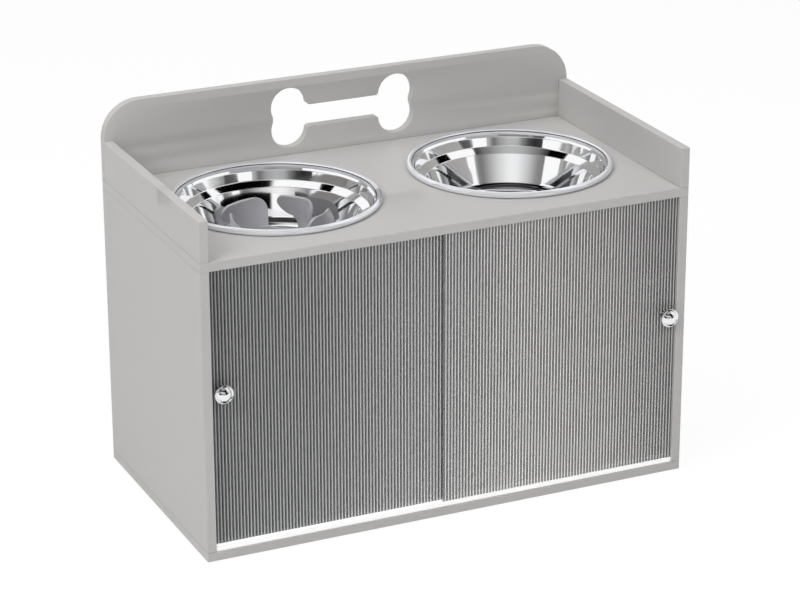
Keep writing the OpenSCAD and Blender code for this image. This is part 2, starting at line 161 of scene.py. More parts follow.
class Recipe(Graph):
    # a geometry tree with named sizes
    kinds = {int: "NodeSocketInt", float: "NodeSocketFloat", Vector: "NodeSocketVector",
             bpy.types.Object: "NodeSocketObject", bpy.types.Material: "NodeSocketMaterial"}

    def __init__(self, name, sizes):
        super().__init__(bpy.data.node_groups.new(name, "GeometryNodeTree"))
        self.sizes = sizes
        self.tree.interface.new_socket("Geometry", in_out="OUTPUT", socket_type="NodeSocketGeometry")
        for label, value in sizes.items():
            self.tree.interface.new_socket(label, in_out="INPUT", socket_type=self.kinds[type(value)])
        self.entry = self.tree.nodes.new("NodeGroupInput")
        self.exit = self.tree.nodes.new("NodeGroupOutput")

    def size(self, label):
        return Wire(self, self.entry.outputs[label])

    def serve(self, name, shape):
        solid = self.node("GeometryNodeRealizeInstances", None, {"Geometry": shape})
        coated = self.node("GeometryNodeSetMaterial", None, {
            "Geometry": solid, "Material": self.size("Material")})
        self.plug(self.exit.inputs[0], coated)
        host = addObject(name, bpy.data.meshes.new(name))
        modifier = host.modifiers.new(name, "NODES")
        modifier.node_group = self.tree
        for item in self.tree.interface.items_tree:
            if item.in_out == "INPUT":
                modifier[item.identifier] = self.sizes[item.name]
        return toPlainMesh(host)


meshLimits = {"weld": 1e-6, "sharpAngle": 35, "straightHalf": 86, "sideShare": 0.45, "longStretch": 4}


def addObject(name, data):
    made = bpy.data.objects.new(name, data)
    bpy.context.scene.collection.objects.link(made)
    return made


def toPlainMesh(piece):
    bpy.context.view_layer.update()
    evaluated = piece.evaluated_get(bpy.context.evaluated_depsgraph_get())
    mesh = bpy.data.meshes.new_from_object(evaluated)
    if piece.type == "MESH":
        piece.modifiers.clear()
        piece.data = mesh
        return piece
    name = piece.name
    bpy.data.objects.remove(piece)
    return addObject(name, mesh)


def faceOutwards(mesh):
    shape = bmesh.new()
    shape.from_mesh(mesh)
    bmesh.ops.remove_doubles(shape, verts=shape.verts, dist=meshLimits["weld"])
    bmesh.ops.recalc_face_normals(shape, faces=shape.faces)
    shape.to_mesh(mesh)
    shape.free()


def smooth(mesh, angle=meshLimits["sharpAngle"]):
    mesh.shade_smooth()
    mesh.set_sharp_from_angle(angle=math.radians(angle))


def polar(radius, degrees):
    return Vector((radius * math.cos(math.radians(degrees)), radius * math.sin(math.radians(degrees))))


def arc(centre, radius, start, end, steps):
    return [Vector(centre) + polar(radius, start + (end - start) * i / steps) for i in range(steps + 1)]


def roundCorners(line, radius, steps=5):
    # every inner corner of an open line becomes an arc
    soft = [line[0]]
    for before, corner, after in zip(line, line[1:], line[2:]):
        a = (before - corner).normalized()
        b = (after - corner).normalized()
        half = a.angle(b, math.pi) / 2
        if half > math.radians(meshLimits["straightHalf"]):
            soft.append(corner)
            continue
        share = meshLimits["sideShare"]
        reach = min(radius / math.tan(half), share * (before - corner).length, share * (after - corner).length)
        middle = corner + (a + b).normalized() * reach / math.cos(half)
        first = corner + a * reach - middle
        last = corner + b * reach - middle
        for i in range(steps + 1):
            soft.append(middle + (first * (1 - i / steps) + last * i / steps).normalized() * first.length)
    return soft + [line[-1]]


def keepFlat(line, margin):
    # points near the ends of each long stretch, so that smooth shading leaves it flat
    held = [line[0]]
    for a, b in zip(line, line[1:]):
        if (b - a).length > meshLimits["longStretch"] * margin:
            held += [a + (b - a).normalized() * margin, b - (b - a).normalized() * margin]
        held.append(b)
    return held


def beside(line, distance):
    # the line moved to its right, with mitred corners
    moved = []
    for i, point in enumerate(line):
        a = (line[max(i, 1)] - line[max(i, 1) - 1]).normalized()
        b = (line[min(i + 1, len(line) - 1)] - line[min(i, len(line) - 2)]).normalized()
        side = Vector((a.y + b.y, -a.x - b.x))
        moved.append(point + side * (2 * distance / side.length_squared))
    return moved


def revolve(name, outline, segments, place):
    # closed outline of (radius, height), turned about an axis; points on the axis become poles
    shape = bmesh.new()
    rings = []
    for radius, height in outline:
        if radius < meshLimits["weld"]:
            rings.append([shape.verts.new((0, 0, height))])
        else:
            turns = (2 * math.pi * k / segments for k in range(segments))
            rings.append([
                shape.verts.new((radius * math.cos(t), radius * math.sin(t), height)) for t in turns])
    for low, high in zip(rings, rings[1:] + rings[:1]):
        for k in range(segments):
            corners = [low[k % len(low)], low[(k + 1) % len(low)],
                       high[(k + 1) % len(high)], high[k % len(high)]]
            corners = [v for i, v in enumerate(corners) if v not in corners[:i]]
            if len(corners) > 2:
                shape.faces.new(corners)
    bmesh.ops.recalc_face_normals(shape, faces=shape.faces)
    mesh = bpy.data.meshes.new(name)
    shape.to_mesh(mesh)
    shape.free()
    mesh.transform(place)
    smooth(mesh)
    return mesh


# Finishes

def paintedBoard():
    look = {
        "light": (0.575, 0.565, 0.552), "dark": (0.55, 0.54, 0.527), "joint": (0.27, 0.265, 0.26),
        "specular": 0.42, "cloud": 0.16, "peel": 0.0016, "peelDepth": 0.00004, "peelStrength": 0.5,
        "jointWidth": 0.0007, "rough": 0.4, "cloudRough": 0.12, "peelRough": 0.04,
    }
    finish = Finish("paintedBoard", {"Specular IOR Level": look["specular"]})
    cloud = finish.noise(look["cloud"], 3.0)
    peel = finish.noise(look["peel"], 1.0)
    # the joints between the boards are fine dark lines on the upright faces
    height = finish.along("Z")
    away = finish.maths("MINIMUM", abs(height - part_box("bottom_panel")[1].z), abs(height - deckTop))
    joint = finish.maths("MAXIMUM", 1 - away / look["jointWidth"], 0.0) * (1 - finish.facing("Z"))
    paint = finish.blend(cloud, look["dark"], look["light"])
    finish.feed("Base Color", finish.blend(joint, paint, look["joint"]))
    finish.feed("Roughness", look["rough"] + cloud * look["cloudRough"] + peel * look["peelRough"])
    finish.relief(peel, look["peelDepth"], look["peelStrength"])
    return finish.material


def reededAcrylic(left, pitch):
    # painted light: each flute gets a painted bright line, standing in for the light it gathers, and dark
    # painted gaps beside it where the inside shows;
    # the lines repeat across each flute, the tone (a painted gradient, darkest at the left) runs across the
    # cabinet and the rise (painted, lighter towards the bottom) runs up the doors
    look = {
        "paintedGapShade": (0.03, 0.0305, 0.03), "lineAlpha": 0.96, "gapAlpha": 0.42, "cabinet": 0.578,
        "cutEdgePaintedLight": 0.3, "cutFacing": 0.9, "drift": 0.09, "driftStretch": (1, 1, 0.25), "driftAlpha": 0.1,
        "ior": 1.49, "specular": 0.5, "rough": 0.12, "driftRough": 0.08,
        "paintedFluteLine": [(0.0, 0.0), (0.2, 0.02), (0.36, 1.0), (0.6, 1.0), (0.76, 0.06), (1.0, 0.0)],
        "tone": [(0.0, (0.42, 0.43, 0.435)), (0.2, (0.5, 0.51, 0.51)), (0.45, (0.74, 0.745, 0.74)),
                 (0.65, (0.95, 0.94, 0.925)), (0.85, (0.85, 0.84, 0.83)), (1.0, (0.6, 0.595, 0.59))],
        "rise": [(0.05, 1.2), (0.3, 1.07), (0.55, 0.99), (1.0, 0.88)],
    }
    finish = Finish("reededAcrylic", {"IOR": look["ior"], "Specular IOR Level": look["specular"]})
    across = finish.along("X")
    paintedFluteLine = finish.ramp(finish.maths("FRACT", (across - left) / pitch), look["paintedFluteLine"])
    # painted highlight: the doors' cut edges are painted lighter
    cut = finish.maths("GREATER_THAN", finish.facing("X"), look["cutFacing"])
    paintedFluteLine = finish.maths("MAXIMUM", paintedFluteLine, cut * look["cutEdgePaintedLight"])
    # painted light: the doors are painted darker towards the left of the cabinet
    tone = finish.ramp(across / look["cabinet"] + 0.5, look["tone"])
    # painted light: the doors are painted lighter towards the bottom
    rise = finish.ramp(finish.along("Z") / deckTop, look["rise"])
    tone = finish.vectorMaths("MULTIPLY", tone, rise)
    drift = finish.noise(look["drift"], 2.0, stretch=look["driftStretch"])
    # painted light: bright lines and dark gaps are painted into the door's colour
    finish.feed("Base Color", finish.blend(paintedFluteLine, look["paintedGapShade"], tone))
    clear = look["gapAlpha"] + paintedFluteLine * (look["lineAlpha"] - look["gapAlpha"])
    finish.feed("Alpha", clear + (drift - 0.5) * look["driftAlpha"])
    finish.feed("Roughness", look["rough"] + drift * look["driftRough"])
    return finish.material


def whiteExtrusion():
    look = {
        "light": (0.97, 0.97, 0.97), "dark": (0.93, 0.93, 0.93), "paintedGlow": 0.31, "specular": 0.5,
        "dieLine": 0.0009, "dieStretch": (0.01, 1, 1), "dieDepth": 0.00003, "dieStrength": 0.4,
        "rough": 0.25, "dieRough": 0.1,
    }
    # painted light: the track glows a little with its own white, so it reads brighter than its lighting makes it
    finish = Finish("whiteExtrusion", {
        "Specular IOR Level": look["specular"], "Emission Strength": look["paintedGlow"]})
    drawn = finish.noise(look["dieLine"], 2.0, stretch=look["dieStretch"])  # die lines run along the track
    white = finish.blend(drawn, look["dark"], look["light"])
    finish.feed("Base Color", white)
    finish.feed("Emission Color", white)
    finish.feed("Roughness", look["rough"] + drawn * look["dieRough"])
    finish.relief(drawn, look["dieDepth"], look["dieStrength"])
    return finish.material


def mirrorSteel(bowlX, bowlY):
    # heights are from the deck's top
    look = {
        "light": (0.97, 0.972, 0.98), "dark": (0.92, 0.924, 0.935), "specular": 0.5, "line": 0.0011,
        "bloom": 0.035, "polishDepth": 0.000004, "polishStrength": 0.3,
        "rough": 0.03, "polishRough": 0.025, "bloomRough": 0.03, "beadRough": 0.12,
        # painted shade: a dark line in the groove inside the bead
        "seam": (0.06, 0.06, 0.065), "seamRadius": 0.1143, "seamHeight": 0.0058, "seamWidth": 0.001,
        # painted highlight: the bead is painted pale and half matt in place of its bright reflection
        "bead": (0.9, 0.915, 0.96), "beadRadius": 0.1174, "beadHeight": 0.0038, "beadWidth": 0.0041,
        "beadMetal": 0.45,
        # painted shade: a dark ring round the foot, standing in for occlusion shade and dark reflections
        "foot": (0.07, 0.07, 0.075), "footRadius": 0.0843, "footHeight": -0.054, "footWidth": 0.0045,
    }
    finish = Finish("mirrorSteel", {"Specular IOR Level": look["specular"]})
    across = abs(finish.along("X")) - bowlX
    inwards = finish.along("Y") - bowlY
    radius = finish.maths("SQRT", across * across + inwards * inwards)
    rings = finish.vector(radius + finish.along("Z"))
    polish = finish.noise(look["line"], 3.0, rings)
    bloom = finish.noise(look["bloom"], 2.0)

    def awayFrom(part):
        # distance from a ring round the bowl, in widths of the ring
        aside = radius - look[part + "Radius"]
        above = finish.along("Z") - deckTop - look[part + "Height"]
        return finish.maths("SQRT", aside * aside + above * above) / look[part + "Width"]

    # the bead is painted pale and half matt, a painted highlight for its bright reflection; a painted shade line
    # runs round its inner side, where the groove's shadow falls, and a painted shade runs round the foot
    seam = finish.maths("MAXIMUM", 1 - awayFrom("seam") ** 2, 0.0)
    bead = finish.maths("LESS_THAN", awayFrom("bead"), 1.0)
    foot = finish.maths("MAXIMUM", 1 - awayFrom("foot") ** 2, 0.0)
    mirrorWithPaintedFootShade = finish.blend(foot, finish.blend(bloom, look["dark"], look["light"]), look["foot"])
    finish.feed("Base Color", finish.blend(seam, finish.blend(bead, mirrorWithPaintedFootShade, look["bead"]), look["seam"]))
    finish.feed("Metallic", 1 - bead * (1 - look["beadMetal"]))
    satin = look["rough"] + polish * look["polishRough"] + bloom * look["bloomRough"]
    finish.feed("Roughness", satin + bead * look["beadRough"])
    finish.relief(polish, look["polishDepth"], look["polishStrength"])
    return finish.material


def chromePlate():
    look = {"light": (0.88, 0.885, 0.89), "dark": (0.8, 0.805, 0.815), "bloom": 0.006,
            "rough": 0.03, "bloomRough": 0.05}
    finish = Finish("chromePlate", {"Metallic": 1.0})
    bloom = finish.noise(look["bloom"], 2.0)
    finish.feed("Base Color", finish.blend(bloom, look["dark"], look["light"]))
    finish.feed("Roughness", look["rough"] + bloom * look["bloomRough"])
    return finish.material


def satinPlastic():
    look = {"light": (0.45, 0.45, 0.475), "dark": (0.4, 0.4, 0.425), "specular": 0.5, "grain": 0.0007,
            "grainDepth": 0.00002, "grainStrength": 0.5, "cloud": 0.03,
            "rough": 0.22, "cloudRough": 0.08, "grainRough": 0.05}
    finish = Finish("satinPlastic", {"Specular IOR Level": look["specular"]})
    grain = finish.noise(look["grain"], 2.0)
    cloud = finish.noise(look["cloud"], 2.0)
    finish.feed("Base Color", finish.blend(cloud, look["dark"], look["light"]))
    finish.feed("Roughness", look["rough"] + cloud * look["cloudRough"] + grain * look["grainRough"])
    finish.relief(grain, look["grainDepth"], look["grainStrength"])
    return finish.material


def zincPlate():
    look = {"light": (0.72, 0.71, 0.68), "dark": (0.6, 0.59, 0.55), "spanglesPerMetre": 900.0,
            "rough": 0.3, "spangleRough": 0.2}
    finish = Finish("zincPlate", {"Metallic": 1.0})
    sockets = {"Vector": finish.place, "Scale": look["spanglesPerMetre"]}
    spangle = finish.node("ShaderNodeTexVoronoi", None, sockets, "Distance")
    finish.feed("Base Color", finish.blend(spangle, look["dark"], look["light"]))
    finish.feed("Roughness", look["rough"] + spangle * look["spangleRough"])
    return finish.material


def birchWood():
    look = {"tone": [(0.3, (0.55, 0.4, 0.23)), (0.6, (0.72, 0.56, 0.35))], "rough": 0.6,
            "grain": 0.0015, "grainStretch": (1, 1, 0.06), "grainDepth": 0.00005, "grainStrength": 0.6}
    finish = Finish("birchWood", {"Roughness": look["rough"]})
    grain = finish.noise(look["grain"], 4.0, stretch=look["grainStretch"])
    finish.feed("Base Color", finish.ramp(grain, look["tone"]))
    finish.relief(grain, look["grainDepth"], look["grainStrength"])
    return finish.material


def dress(material, *names):
    for name in names:
        nodes[name].data.materials.clear()
        nodes[name].data.materials.append(material)


def stand(piece, node, body):
    # a finished piece takes the place of its CAD node
    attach(piece, body)
    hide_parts(node)


board = paintedBoard()
dress(board, "bottom_panel", "left_side_panel", "right_side_panel", "back_panel", "top_panel",
      "left_guard", "right_guard")
dress(whiteExtrusion(), "lower_track", "upper_track")
dress(birchWood(), "base_dowels", "top_dowels", "guard_dowels", "splash_dowels")
dress(zincPlate(), "base_screws", "top_screws", "guard_screws",
      "left_knob_screw", "right_knob_screw", "left_knob_washer", "right_knob_washer")
print("boards, tracks and fasteners dressed")


# Splash panel with its bone

splashShape = {
    "cornerRadius": 0.045, "edge": 0.0006,
    "boneLength": 0.184, "boneHeight": 0.0455, "lobeRadius": 0.023, "lobeGap": 0.027, "shaft": 0.0263,
    "hollowRadius": 0.004, "notchRadius": 0.016, "screwRadius": 0.004, "screwGap": 0.0001,
    "edgeSteps": 2, "cornerSteps": 40, "hollowSteps": 13, "screwSteps": 32,
}


def boneOutline():
    # a quarter runs from the notch at the end, round a lobe, to the hollow beside the shaft
    lobeR, hollowR, notchR = (splashShape[k + "Radius"] for k in ("lobe", "hollow", "notch"))
    lobe = Vector((splashShape["boneLength"] / 2 - lobeR, splashShape["lobeGap"] / 2))
    reach = lobeR + hollowR
    tilt = math.degrees(math.asin((splashShape["shaft"] / 2 + hollowR - lobe.y) / reach))
    notch = math.degrees(math.asin(lobe.y / (lobeR + notchR)))
    middle = (lobe.x + lobe.y / math.tan(math.radians(notch)), 0)
    hollow = lobe + polar(reach, 180 - tilt)
    quarter = arc(middle, notchR, 180, 180 - notch, splashShape["hollowSteps"])
    quarter += arc(lobe, lobeR, -notch, 180 - tilt, splashShape["cornerSteps"])[1:]
    quarter += arc(hollow, hollowR, -tilt, -90, splashShape["hollowSteps"])[1:]
    upper = quarter + [Vector((-p.x, p.y)) for p in reversed(quarter)]
    return upper + [Vector((p.x, -p.y)) for p in reversed(upper[1:-1])]


def splashPanel():
    low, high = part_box("splash_panel")
    width, height = high.x - low.x, high.z - low.z
    radius, steps = splashShape["cornerRadius"], splashShape["cornerSteps"]
    right = [Vector((width / 2, 0))] + arc((width / 2 - radius, height - radius), radius, 0, 90, steps)
    outer = right + [Vector((-p.x, p.y)) for p in reversed(right)]
    bone = [p + Vector((0, splashShape["boneHeight"])) for p in boneOutline()]
    first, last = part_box("guard_screws")
    head = splashShape["screwRadius"]
    screwHoles = []
    for x in (first.x + head, last.x - head):
        for z in (first.z + head, last.z - head):
            holeRadius = head + splashShape["screwGap"]
            screwHoles.append(arc((x, z - low.z), holeRadius, 0, -360, splashShape["screwSteps"])[:-1])
    curve = bpy.data.curves.new("splashPanel", "CURVE")
    curve.dimensions = "2D"
    curve.fill_mode = "BOTH"
    curve.extrude = (high.y - low.y) / 2 - splashShape["edge"]
    curve.bevel_depth = splashShape["edge"]
    curve.bevel_resolution = splashShape["edgeSteps"]
    curve.offset = -splashShape["edge"]
    for outline in [outer, list(reversed(bone))] + screwHoles:
        spline = curve.splines.new("POLY")
        spline.points.add(len(outline) - 1)
        spline.use_cyclic_u = True
        for point, place in zip(spline.points, outline):
            point.co = (place.x, place.y, 0, 1)
    piece = toPlainMesh(addObject("splashPanel", curve))
    upright = Matrix.Rotation(math.pi / 2, 4, "X")
    piece.data.transform(Matrix.Translation((0, (low.y + high.y) / 2, low.z)) @ upright)
    faceOutwards(piece.data)
    smooth(piece.data)
    piece.data.materials.clear()
    piece.data.materials.append(board)
    stand(piece, "splash_panel", "cabinet")


splashPanel()
print("splash panel made")


# Reeded doors: one section of round flutes drawn along Z

doorShape = {"pitch": 0.00395, "fluteDepth": 0.0009, "stepsPerFlute": 10}


def flutedDoor(name, node, body):
    low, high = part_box(node)
    width = high.x - low.x
    flutes = round(width / doorShape["pitch"])
    recipe = Recipe(name, {
        "Width": width,
        "Thickness": high.y - low.y,
        "Flutes": flutes,
        "Flute depth": doorShape["fluteDepth"],
        "Steps per flute": doorShape["stepsPerFlute"],
        "Foot": Vector((low.x, low.y, low.z)),
        "Head": Vector((low.x, low.y, high.z)),
        "Material": reededAcrylic(low.x, width / flutes),
    })
    steps = recipe.size("Steps per flute")
    last = recipe.size("Flutes") * steps
    pitch = recipe.size("Width") / recipe.size("Flutes")
    depth = recipe.size("Flute depth")
    index = recipe.node("GeometryNodeInputIndex")
    aside = (recipe.maths("FRACT", index / steps) - 0.5) * pitch
    roundRadius = (pitch * pitch / 4 + depth * depth) / (depth * 2)
    dip = roundRadius - recipe.maths("SQRT", roundRadius * roundRadius - aside * aside)
    back = recipe.maths("GREATER_THAN", index, last + 0.5)
    x = (1 - back) * index / steps * pitch + back * recipe.size("Width") * (last + 2 - index)
    y = (1 - back) * dip + back * recipe.size("Thickness")
    line = recipe.node("GeometryNodeMeshLine", None, {"Count": last + 3})
    section = recipe.node("GeometryNodeSetPosition", None, {
        "Geometry": line, "Position": recipe.vector(x, y)})
    section = recipe.node("GeometryNodeMeshToCurve", None, {"Mesh": section})
    section = recipe.node("GeometryNodeSetSplineCyclic", None, {"Geometry": section, "Cyclic": True})
    path = recipe.node("GeometryNodeCurvePrimitiveLine", None, {
        "Start": recipe.size("Foot"), "End": recipe.size("Head")})
    sheet = recipe.node("GeometryNodeCurveToMesh", None, {
        "Curve": path, "Profile Curve": section, "Fill Caps": True})
    piece = recipe.serve(name, sheet)
    faceOutwards(piece.data)
    smooth(piece.data)
    stand(piece, node, body)


flutedDoor("leftReededDoor", "left_door", "left_door")
flutedDoor("rightReededDoor", "right_door", "right_door")
print("reeded doors made")


# Bowls

bowlShape = {
    "bead": 0.0036, "beadLeave": 190, "beadTouch": 205, "beadJoin": -140, "groove": 0.0026, "seat": 0.0002,
    "bandHeight": 0.0113, "bandLean": 0.0035, "shoulderWidth": 0.009, "shoulderHeight": 0.0057,
    "depth": 0.058, "footRadius": 0.0135, "wallAngle": 70, "steel": 0.0008, "edgeRadius": 0.0012,
    "flatMargin": 0.0005, "footSteps": 14, "beadSteps": 26, "segments": 192,
}


def bowlOutline(rim):
    shape = bowlShape
    bead = Vector((rim - shape["bead"], shape["seat"] + shape["bead"]))
    lip = bead + polar(shape["bead"], shape["beadTouch"])
    bandTop = lip - Vector((shape["groove"], shape["groove"]))
    bandLow = bandTop - Vector((shape["bandLean"], shape["bandHeight"]))
    wallTop = bandLow - Vector((shape["shoulderWidth"], shape["shoulderHeight"]))
    slope = math.radians(shape["wallAngle"])
    depth, footRadius = shape["depth"], shape["footRadius"]
    footZ = -depth + footRadius * (1 - math.cos(slope))
    footX = wallTop.x - (wallTop.y - footZ) / math.tan(slope)
    floorRadius = footX - footRadius * math.sin(slope)
    footCentre = (floorRadius, footRadius - depth)
    inside = [Vector((0, -depth)), Vector((floorRadius / 2, -depth))]
    inside += arc(footCentre, footRadius, -90, shape["wallAngle"] - 90, shape["footSteps"])
    inside += [wallTop, bandLow, bandTop, lip]
    outside = beside(inside, shape["steel"])
    outside[0] = inside[0] - Vector((0, shape["steel"]))
    roll = arc(bead, shape["bead"], shape["beadLeave"], shape["beadJoin"], shape["beadSteps"])
    inside, outside = (
        keepFlat(roundCorners(line, shape["edgeRadius"]), shape["flatMargin"]) for line in (inside, outside))
    return inside[:-1] + roll + list(reversed(outside))[1:]


def steelBowl(name, node, material):
    low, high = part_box(node)
    centre = (low + high) / 2
    outline = bowlOutline((high.x - low.x) / 2)
    mesh = revolve(name, outline, bowlShape["segments"], Matrix.Translation((centre.x, centre.y, deckTop)))
    mesh.materials.append(material)
    stand(addObject(name, mesh), node, node)


rightCentre = (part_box("right_bowl")[0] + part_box("right_bowl")[1]) / 2
steel = mirrorSteel(rightCentre.x, rightCentre.y)
steelBowl("leftSteelBowl", "left_bowl", steel)
steelBowl("rightSteelBowl", "right_bowl", steel)
print("bowls made")


# Slow feeder insert: five bent, twisted fins on a disc

insertShape = {
    "discRadius": 0.0667, "discThickness": 0.0024, "discSegments": 128,
    "fins": 5, "finHeight": 0.046, "finThickness": 0.003, "finRing": 0.053,
    "firstTurn": 32, "skew": 64, "twist": 30, "bendRadius": 0.065, "bendTries": 6,
    "inner": 0.022, "outer": 0.034, "lobeRadius": 0.012, "lobeDrop": 0.014, "cornerRadius": 0.014,
    "neckRadius": 0.011, "neckLevels": (180, 91), "lobeLevels": (-90, 70), "cornerLevels": (165, 93),
    "softEdge": 0.0011, "softAngle": 50, "softSteps": 3, "rimSteps": 4, "columns": 16, "rowsPerArc": 9,
}


def finSpan():
    # from the foot up: height, inner end and outer end of each row
    shape = insertShape
    top, corner, lobeR, neckR = (shape[k] for k in ("finHeight", "cornerRadius", "lobeRadius", "neckRadius"))
    lobe = Vector((shape["outer"] - lobeR, top - shape["lobeDrop"]))
    neck = Vector((lobe.x, lobe.y - lobeR - neckR))
    flat = corner - shape["inner"]
    steps = shape["rowsPerArc"]
    shoulder = lobe + polar(lobeR, shape["lobeLevels"][1])
    bends = arc(neck, neckR, *shape["neckLevels"], steps) + arc(lobe, lobeR, *shape["lobeLevels"], 2 * steps)
    bends += arc((flat, top - corner), corner, *shape["cornerLevels"], steps)
    levels = [0.0] + [p.y for p in bends]
    rows = []
    for z in sorted(set(round(level, 6) for level in levels)):
        rise = max(z - (top - corner), 0)
        start = flat - math.sqrt(max(corner ** 2 - rise ** 2, 0))
        if z < neck.y:
            end = neck.x - neckR
        elif z < lobe.y - lobeR:
            end = neck.x - math.sqrt(max(neckR ** 2 - (z - neck.y) ** 2, 0))
        elif z < shoulder.y:
            end = lobe.x + math.sqrt(max(lobeR ** 2 - (z - lobe.y) ** 2, 0))
        else:
            end = flat + (shoulder.x - flat) * (top - z) / (top - shoulder.y)
        rows.append((z, start, end))
    return rows


def bentPoint(s, z):
    # the strip's arc, turned by the twist at this height, where it passes s
    shape = insertShape
    turn = math.radians(shape["twist"]) * (z / shape["finHeight"] - 0.5)
    bend = shape["bendRadius"]
    angle = s / bend
    for _ in range(shape["bendTries"]):
        x = bend * (math.sin(angle) * math.cos(turn) - (1 - math.cos(angle)) * math.sin(turn))
        slope = bend * math.cos(angle + turn)
        angle -= (x - s) / slope
    return s, bend * (math.sin(angle) * math.sin(turn) + (1 - math.cos(angle)) * math.cos(turn)), z


def finMesh():
    shape = bmesh.new()
    columns = insertShape["columns"]
    grid = []
    for z, start, end in finSpan():
        places = [start + (end - start) * k / columns for k in range(columns + 1)]
        grid.append([shape.verts.new(bentPoint(s, z)) for s in places])
    for low, high in zip(grid, grid[1:]):
        for k in range(columns):
            shape.faces.new((low[k], low[k + 1], high[k + 1], high[k]))
    mesh = bpy.data.meshes.new("fin")
    shape.to_mesh(mesh)
    shape.free()
    fin = addObject("fin", mesh)
    wall = fin.modifiers.new("wall", "SOLIDIFY")
    wall.thickness = insertShape["finThickness"]
    wall.offset = 0
    wall.use_even_offset = True
    edge = fin.modifiers.new("edge", "BEVEL")
    edge.width = insertShape["softEdge"]
    edge.segments = insertShape["softSteps"]
    edge.angle_limit = math.radians(insertShape["softAngle"])
    fin = toPlainMesh(fin)
    smooth(fin.data, insertShape["softAngle"])
    return fin


def slowFeeder():
    low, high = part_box("slow_feeder_insert")
    bowlLow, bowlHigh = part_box("left_bowl")
    centre = (bowlLow + bowlHigh) / 2
    radius, thickness, edge = (insertShape[k] for k in ("discRadius", "discThickness", "softEdge"))
    outline = [Vector((0, 0))]
    outline += arc((radius - edge, edge), edge, -90, 0, insertShape["rimSteps"])
    outline += arc((radius - edge, thickness - edge), edge, 0, 90, insertShape["rimSteps"])
    outline += [Vector((0, thickness))]
    disc = addObject("disc", revolve("disc", outline, insertShape["discSegments"], Matrix()))
    fin = finMesh()
    recipe = Recipe("slowFeeder", {
        "Fins": insertShape["fins"],
        "Ring radius": insertShape["finRing"],
        "First turn": math.radians(insertShape["firstTurn"]),
        "Skew": math.radians(insertShape["skew"]),
        "Fin": fin,
        "Disc": disc,
        "Centre": Vector((centre.x, centre.y, low.z)),
        "Material": satinPlastic(),
    })
    index = recipe.node("GeometryNodeInputIndex")
    turn = recipe.size("First turn") + index * (2 * math.pi) / recipe.size("Fins")
    ring = recipe.size("Ring radius")
    spot = recipe.vector(ring * recipe.maths("COSINE", turn), ring * recipe.maths("SINE", turn))
    points = recipe.node("GeometryNodePoints", None, {"Count": recipe.size("Fins"), "Position": spot})
    finShape = recipe.node("GeometryNodeObjectInfo", None, {"Object": recipe.size("Fin")}, "Geometry")
    discShape = recipe.node("GeometryNodeObjectInfo", None, {"Object": recipe.size("Disc")}, "Geometry")
    facing = recipe.vector(0.0, 0.0, turn + recipe.size("Skew"))
    fins = recipe.node("GeometryNodeInstanceOnPoints", None, {
        "Points": points, "Instance": finShape, "Rotation": facing})
    whole = recipe.node("GeometryNodeJoinGeometry", None, {"Geometry": [fins, discShape]})
    whole = recipe.node("GeometryNodeTransform", None, {"Geometry": whole, "Translation": recipe.size("Centre")})
    piece = recipe.serve("slowFeeder", whole)
    for source in (fin, disc):
        bpy.data.objects.remove(source)
    stand(piece, "slow_feeder_insert", "slow_feeder_insert")


slowFeeder()
print("slow feeder insert made")


# Knobs

knobShape = {
    "stemRadius": 0.006, "neckShare": 0.87, "flareShare": 0.34, "edgeShare": 0.56, "rimShare": 0.74,
    "domeShare": 0.76, "edgeRadius": 0.0012,
    "flareSteps": 10, "edgeSteps": 6, "domeSteps": 18, "segments": 96,
}


def knobOutline(radius, length):
    shape = knobShape
    neck = shape["stemRadius"] * shape["neckShare"]
    flareZ, edgeZ, rimZ = (length * shape[k] for k in ("flareShare", "edgeShare", "rimShare"))
    sweep = edgeZ - flareZ
    domeRadius = radius * shape["domeShare"]
    domeHeight = length - rimZ
    domeArc = (domeRadius ** 2 + domeHeight ** 2) / (2 * domeHeight)
    domeAngle = math.degrees(math.asin(domeRadius / domeArc))
    edge = shape["edgeRadius"]
    outline = [Vector((0, 0)), Vector((shape["stemRadius"], 0)), Vector((neck, flareZ))]
    outline += arc((neck + sweep, flareZ), sweep, 180, 90, shape["flareSteps"])[1:]
    outline += arc((radius - edge, edgeZ + edge), edge, -90, 0, shape["edgeSteps"])
    outline += arc((radius - edge, rimZ - edge), edge, 0, 90, shape["edgeSteps"])
    outline += [Vector((domeRadius + edge / 2, rimZ - edge / 2))]
    outline += arc((0, length - domeArc), domeArc, 90 - domeAngle, 90, shape["domeSteps"])
    return outline


def chromeKnob(name, node, body, material):
    low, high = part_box(node)
    centre = (low + high) / 2
    turned = Matrix.Translation((centre.x, high.y, centre.z)) @ Matrix.Rotation(math.pi / 2, 4, "X")
    mesh = revolve(name, knobOutline((high.x - low.x) / 2, high.y - low.y), knobShape["segments"], turned)
    mesh.materials.append(material)
    stand(addObject(name, mesh), node, body)


chrome = chromePlate()
chromeKnob("leftChromeKnob", "left_door_knob", "left_door", chrome)
chromeKnob("rightChromeKnob", "right_door_knob", "right_door", chrome)
print("knobs made")


# Studio: camera, floor, world and lamps

cameraShape = {
    "place": (-1.3223, -2.9065, 1.4440), "azimuth": -24.579, "elevation": 21.146, "roll": -0.155,
    "lens": 131.65, "sensor": 36,
}


def addCamera():
    shape = cameraShape
    data = bpy.data.cameras.new("camera")
    data.sensor_fit = "HORIZONTAL"
    data.sensor_width = shape["sensor"]
    data.lens = shape["lens"]
    camera = addObject("camera", data)
    turn = Matrix.Rotation(math.radians(shape["azimuth"]), 4, "Z")
    tilt = Matrix.Rotation(math.radians(90 - shape["elevation"]), 4, "X")
    roll = Matrix.Rotation(math.radians(shape["roll"]), 4, "Z")
    camera.matrix_world = Matrix.Translation(shape["place"]) @ turn @ tilt @ roll
    bpy.context.scene.camera = camera


